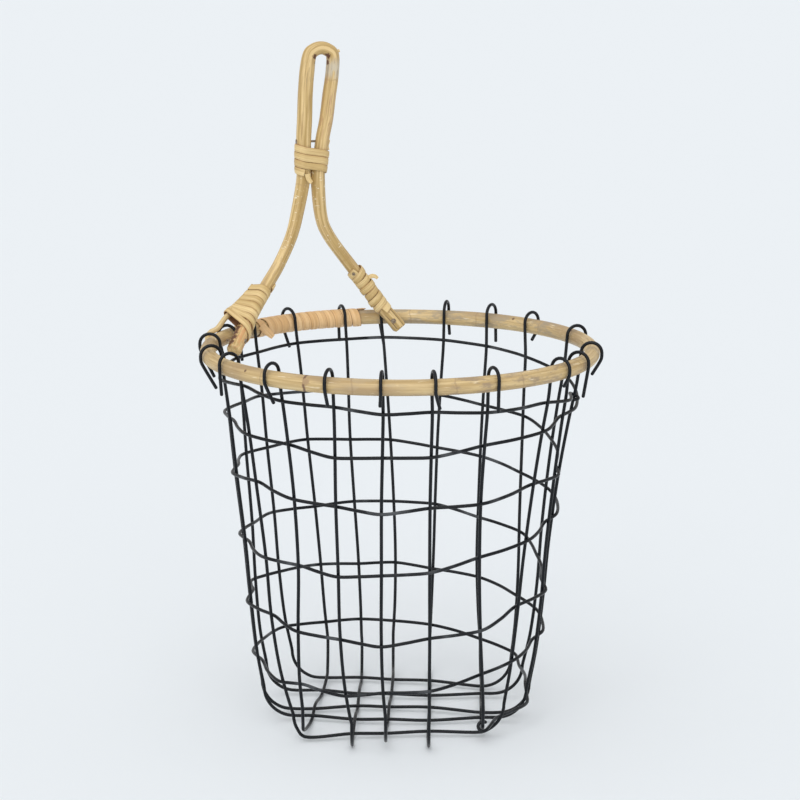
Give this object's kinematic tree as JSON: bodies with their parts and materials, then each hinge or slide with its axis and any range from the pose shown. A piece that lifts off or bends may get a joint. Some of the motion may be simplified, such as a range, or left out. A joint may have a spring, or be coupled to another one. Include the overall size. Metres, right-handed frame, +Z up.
{
  "type": "onion_basket",
  "caption": "Tall round open wire basket with hooks over a rattan hoop rim and a looped rattan carrying handle, for holding onions or other dry vegetables",
  "frame": {"origin": "on the ground under the middle of the rim", "axes": "+Z up, front towards -Y, the handle stands at the back left"},
  "size_m": [0.2631, 0.2643, 0.442],
  "materials": {
    "black_coat": "satin black coating on round steel wire",
    "rim_rattan": "dull greyish tan rattan pole",
    "rattan_pole": "smooth straw-coloured rattan pole",
    "rattan_strip": "pale split rattan strip",
    "splice_strip": "pinkish tan split rattan strip",
    "bare_steel": "plain steel nails"
  },
  "bodies": {
    "cage": {"cross_wire_1": "black_coat", "cross_wire_2": "black_coat", "cross_wire_3": "black_coat", "cross_wire_4": "black_coat", "cross_wire_5": "black_coat", "front_back_wire_1": "black_coat", "front_back_wire_2": "black_coat", "front_back_wire_3": "black_coat", "front_back_wire_4": "black_coat", "front_back_wire_5": "black_coat", "weaver_wire": "black_coat"},
    "rim_assembly": {"rim_hoop": "rim_rattan", "handle_pole": "rattan_pole", "left_leg_stay": "rattan_strip", "left_leg_lashing": "rattan_strip", "right_leg_lashing": "rattan_strip", "waist_lashing": "rattan_strip", "splice_binding": "splice_strip", "waist_nail": "bare_steel", "left_leg_nail": "bare_steel", "right_leg_nail": "bare_steel", "left_lashing_tack": "bare_steel", "right_lashing_tack": "bare_steel"}
  },
  "joints": [
    {"name": "rim_lift", "type": "slide", "parent": "cage", "child": "rim_assembly", "axis": [0, 0, 1], "range_m": [0, 0.001]}
  ]
}
